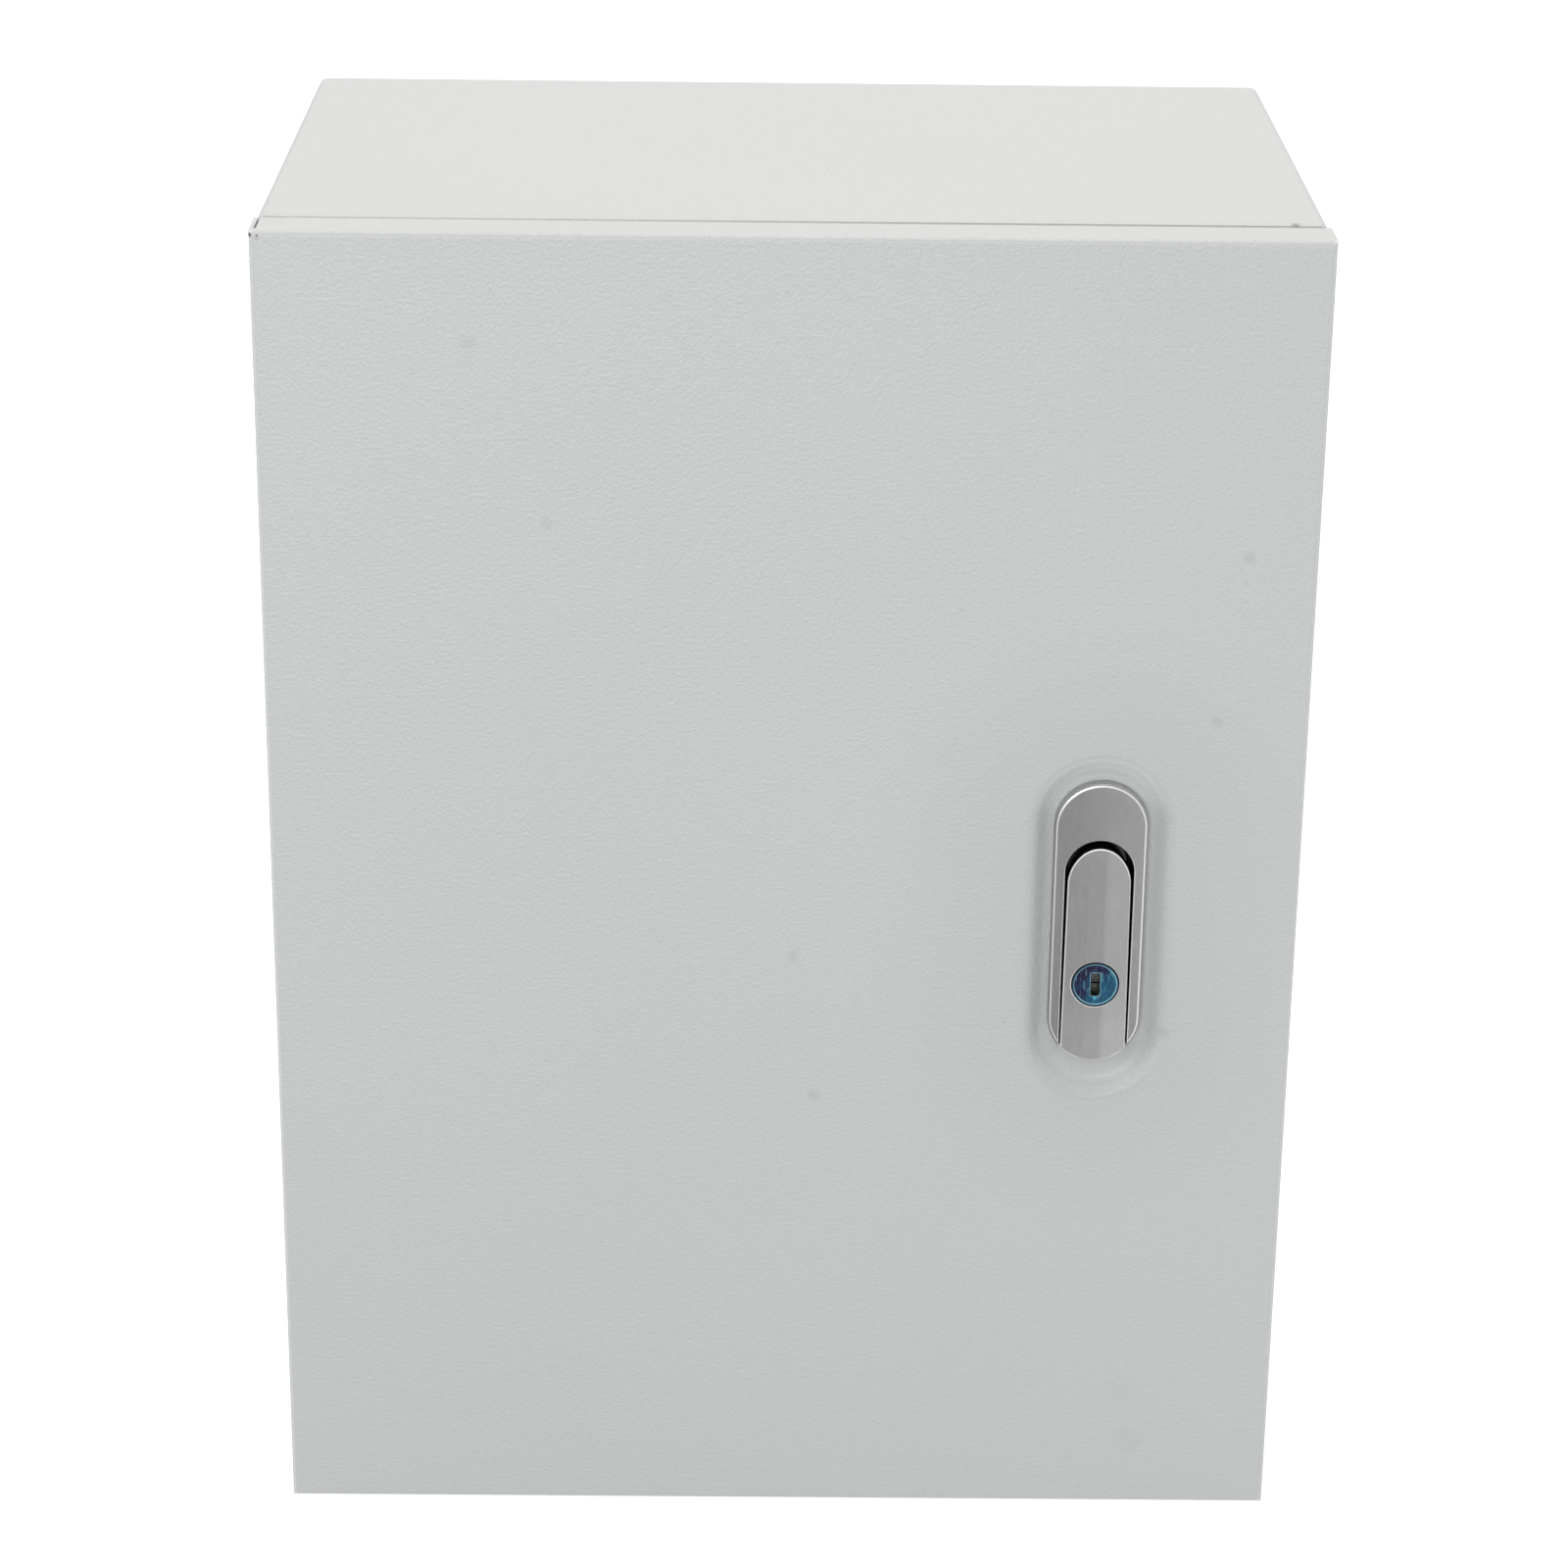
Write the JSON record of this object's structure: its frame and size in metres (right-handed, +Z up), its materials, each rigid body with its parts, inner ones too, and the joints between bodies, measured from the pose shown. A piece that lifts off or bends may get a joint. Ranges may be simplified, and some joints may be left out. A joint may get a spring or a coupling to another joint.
{
  "type": "steel wall enclosure",
  "caption": "Wall-mounted steel cabinet with a folded hinged door, a sealing rim, an inner mounting plate and a lift-up lock handle.",
  "frame": {"origin": "middle of the four wall holes, on the back face of the cabinet", "axes": "+Z up, +Y into the wall (the door faces -Y), +X to the right when the door is looked at"},
  "size_m": [0.3, 0.2012, 0.4],
  "materials": {
    "paint_body": "light grey powder coat, fine orange peel",
    "paint_door": "light grey powder coat, fine orange peel",
    "galvanised": "galvanised sheet steel",
    "zinc_fasteners": "zinc plated steel",
    "zinc_casting": "satin plated zinc casting",
    "cylinder": "satin plated cylinder face",
    "cam_steel": "zinc plated steel",
    "foam": "foamed sealing gasket",
    "gasket_black": "flat rubber gasket"
  },
  "bodies": {
    "cabinet": {"body_shell": "paint_body", "back_panel": "paint_body", "plate_studs": "zinc_fasteners", "mounting_plate": "galvanised", "plate_nuts": "zinc_fasteners", "gland_gasket": "gasket_black", "gland_plate": "galvanised", "gland_studs": "zinc_fasteners", "gland_nuts": "zinc_fasteners", "body_earth_stud": "zinc_fasteners", "body_earth_nuts": "zinc_fasteners", "hinge_bracket_upper": "zinc_fasteners", "hinge_bracket_lower": "zinc_fasteners", "hinge_pin_upper": "zinc_fasteners", "hinge_pin_lower": "zinc_fasteners"},
    "door": {"door_panel": "paint_door", "door_gasket": "foam", "door_hinge_upper": "zinc_fasteners", "door_hinge_lower": "zinc_fasteners", "door_earth_stud": "zinc_fasteners", "door_earth_nuts": "zinc_fasteners", "lock_gasket": "gasket_black", "lock_bezel": "zinc_casting", "lock_bridge_upper": "cam_steel", "lock_bridge_lower": "cam_steel", "clamp_screws": "zinc_fasteners", "turret": "zinc_casting"},
    "handle": {"handle": "zinc_casting", "handle_pin": "zinc_fasteners", "lock_barrel": "cylinder"},
    "plug": {"lock_plug": "cylinder", "plug_hook": "zinc_fasteners"},
    "latch": {"spindle": "cam_steel", "latch_cam": "cam_steel", "cam_washer": "zinc_fasteners", "cam_bolt": "zinc_fasteners"}
  },
  "joints": [
    {"name": "door_hinge", "type": "hinge", "parent": "cabinet", "child": "door", "pos_m": [-0.1445, -0.191, 0], "axis": [0, 0, -1], "range_deg": [0, 110]},
    {"name": "handle_lift", "type": "hinge", "parent": "door", "child": "handle", "pos_m": [0.0915, -0.196, 0.0105], "axis": [-1, 0, 0], "range_deg": [0, 38]},
    {"name": "key_turn", "type": "hinge", "parent": "handle", "child": "plug", "pos_m": [0.0915, -0.195, -0.024], "axis": [0, 1, 0], "range_deg": [0, 90]},
    {"name": "latch_turn", "type": "hinge", "parent": "door", "child": "latch", "pos_m": [0.0915, -0.182, 0.0105], "axis": [0, 1, 0], "range_deg": [0, 90]}
  ]
}
